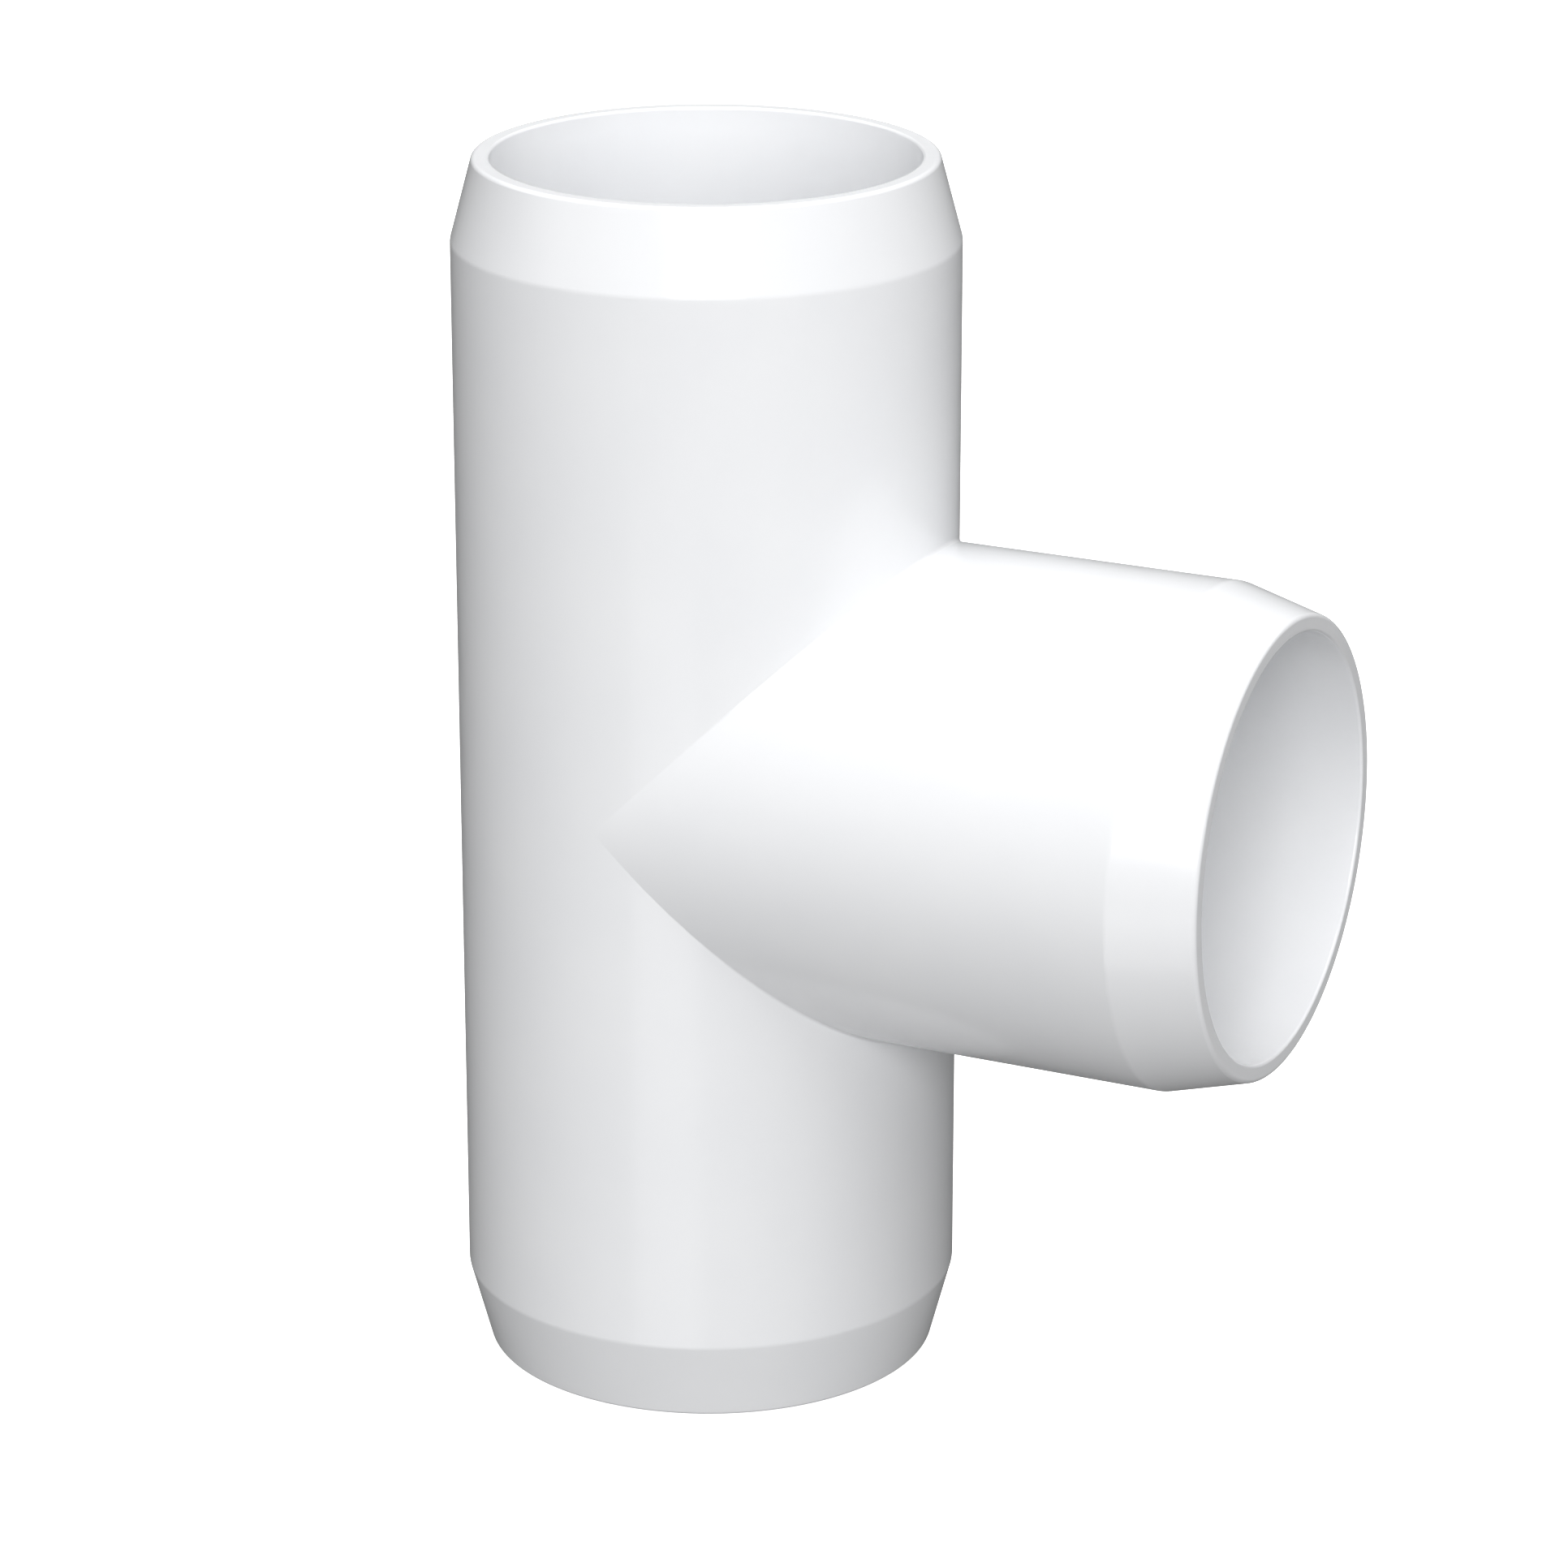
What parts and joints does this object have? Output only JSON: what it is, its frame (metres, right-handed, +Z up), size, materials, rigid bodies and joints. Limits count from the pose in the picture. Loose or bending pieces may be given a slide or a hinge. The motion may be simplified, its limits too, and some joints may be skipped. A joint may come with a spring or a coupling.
{
  "type": "pipe tee",
  "caption": "Plain white PVC slip-socket pipe tee with a straight run, a square branch and tapered noses round its mouths.",
  "frame": {"origin": "where the centreline of the run crosses the centreline of the branch, which is the point that pipe fittings are dimensioned from", "axes": "+Z up along the run, +X out along the branch, +Y the object's narrow way, square to both"},
  "size_m": [0.0874, 0.0502, 0.1246],
  "materials": {
    "white_pvc": "smooth moulded, satin to gloss"
  },
  "bodies": {
    "root": {"tee_body": "white_pvc"}
  },
  "joints": []
}
